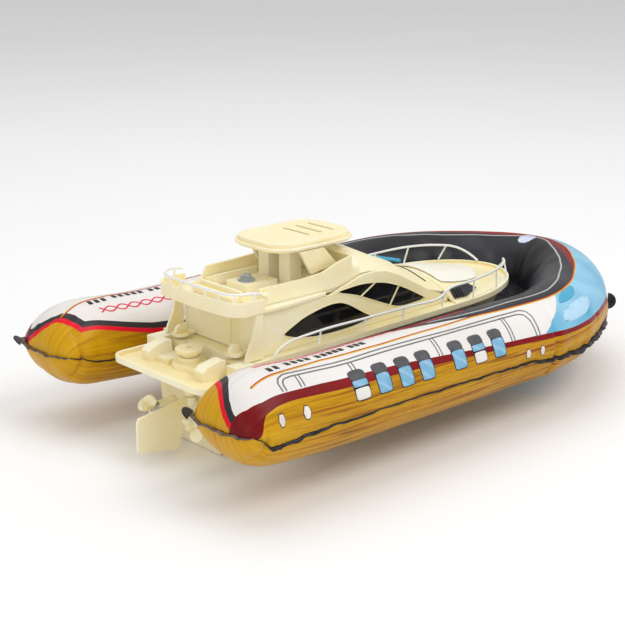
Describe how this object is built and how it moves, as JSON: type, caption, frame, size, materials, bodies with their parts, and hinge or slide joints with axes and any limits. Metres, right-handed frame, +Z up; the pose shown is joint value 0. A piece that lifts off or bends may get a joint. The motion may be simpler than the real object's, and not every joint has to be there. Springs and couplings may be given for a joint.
{
  "type": "inflatable toy boat",
  "caption": "Remote-controlled toy motor yacht in ivory plastic held inside a printed U-shaped inflated float, with rudder, propellers and stern latches.",
  "frame": {"origin": "on the flat keel of the yacht, amidships, at the lowest point of the boat", "axes": "+X to the bow, +Y to port, +Z up"},
  "size_m": [0.5548, 0.3191, 0.1655],
  "materials": {
    "ivory": "moulded ivory plastic, soft sheen",
    "white_plastic": "white moulded plastic",
    "black_plastic": "polished black plastic",
    "dark_plastic": "dark grey moulded plastic",
    "printed_film": "pearly film with a printed wood, window and panel pattern",
    "black_film": "dark printed film",
    "clear_plastic": "clear",
    "blue_plastic": "blue",
    "steel": "plain steel",
    "circuit_green": "circuit board"
  },
  "bodies": {
    "boat": {"lower_hull": "ivory", "inflatable_hull": "printed_film", "side_web_port": "black_film", "side_web_starboard": "black_film", "bow_web": "black_film", "tab_starboard": "black_film", "tab_port": "black_film", "tab_bow": "black_film", "main_deck": "ivory", "swim_platform": "ivory", "cabin_side_port": "ivory", "cabin_side_starboard": "ivory", "main_window_port": "black_plastic", "main_window_starboard": "black_plastic", "upper_window_port": "black_plastic", "upper_window_starboard": "black_plastic", "cabin_front": "ivory", "coachroof": "ivory", "sunpad": "white_plastic", "rear_bulkhead": "ivory", "side_fin_port": "ivory", "side_fin_starboard": "ivory", "vent_grille_port": "black_plastic", "vent_grille_starboard": "black_plastic", "flybridge_deck": "ivory", "flybridge_coaming": "ivory", "side_seat_port": "ivory", "side_seat_starboard": "ivory", "aft_seat": "ivory", "light_table": "ivory", "light_ring": "clear_plastic", "light_dome": "clear_plastic", "light_emitter": "blue_plastic", "hardtop": "ivory", "roof_post_port": "ivory", "roof_post_starboard": "ivory", "side_pillar_port": "ivory", "side_pillar_starboard": "ivory", "stern_rail": "white_plastic", "bow_rail_port": "white_plastic", "bow_rail_starboard": "white_plastic", "stern_tube_port": "ivory", "stern_tube_starboard": "ivory", "motor_port": "steel", "motor_starboard": "steel", "battery_tray": "dark_plastic", "battery_pack": "blue_plastic", "battery_cover": "dark_plastic", "control_board": "circuit_green", "switch_housing": "dark_plastic"},
    "rudder": {"rudder_knob": "ivory", "rudder_stock": "ivory", "rudder_blade": "ivory"},
    "propeller_port": {"propeller_port": "ivory", "propeller_shaft_port": "steel"},
    "propeller_starboard": {"propeller_starboard": "ivory", "propeller_shaft_starboard": "steel"},
    "latch_port": {"latch_port": "ivory"},
    "latch_starboard": {"latch_starboard": "ivory"},
    "power_switch": {"power_switch": "black_plastic"}
  },
  "joints": [
    {"name": "rudder_turn", "type": "hinge", "parent": "boat", "child": "rudder", "pos_m": [-0.21, 0, 0.05], "axis": [0, 0, 1], "range_deg": [-30, 30]},
    {"name": "propeller_port_spin", "type": "hinge", "parent": "boat", "child": "propeller_port", "pos_m": [-0.231, 0.031, 0.032], "axis": [1, 0, 0], "continuous": true},
    {"name": "propeller_starboard_spin", "type": "hinge", "parent": "boat", "child": "propeller_starboard", "pos_m": [-0.231, -0.031, 0.032], "axis": [1, 0, 0], "continuous": true},
    {"name": "latch_port_turn", "type": "hinge", "parent": "boat", "child": "latch_port", "pos_m": [-0.1915, 0.036, 0.087], "axis": [0, 0, -1], "range_deg": [0, 90]},
    {"name": "latch_starboard_turn", "type": "hinge", "parent": "boat", "child": "latch_starboard", "pos_m": [-0.1915, -0.036, 0.087], "axis": [0, 0, 1], "range_deg": [0, 90]},
    {"name": "power_switch_slide", "type": "slide", "parent": "boat", "child": "power_switch", "axis": [1, 0, 0], "range_m": [0, 0.0055]}
  ]
}
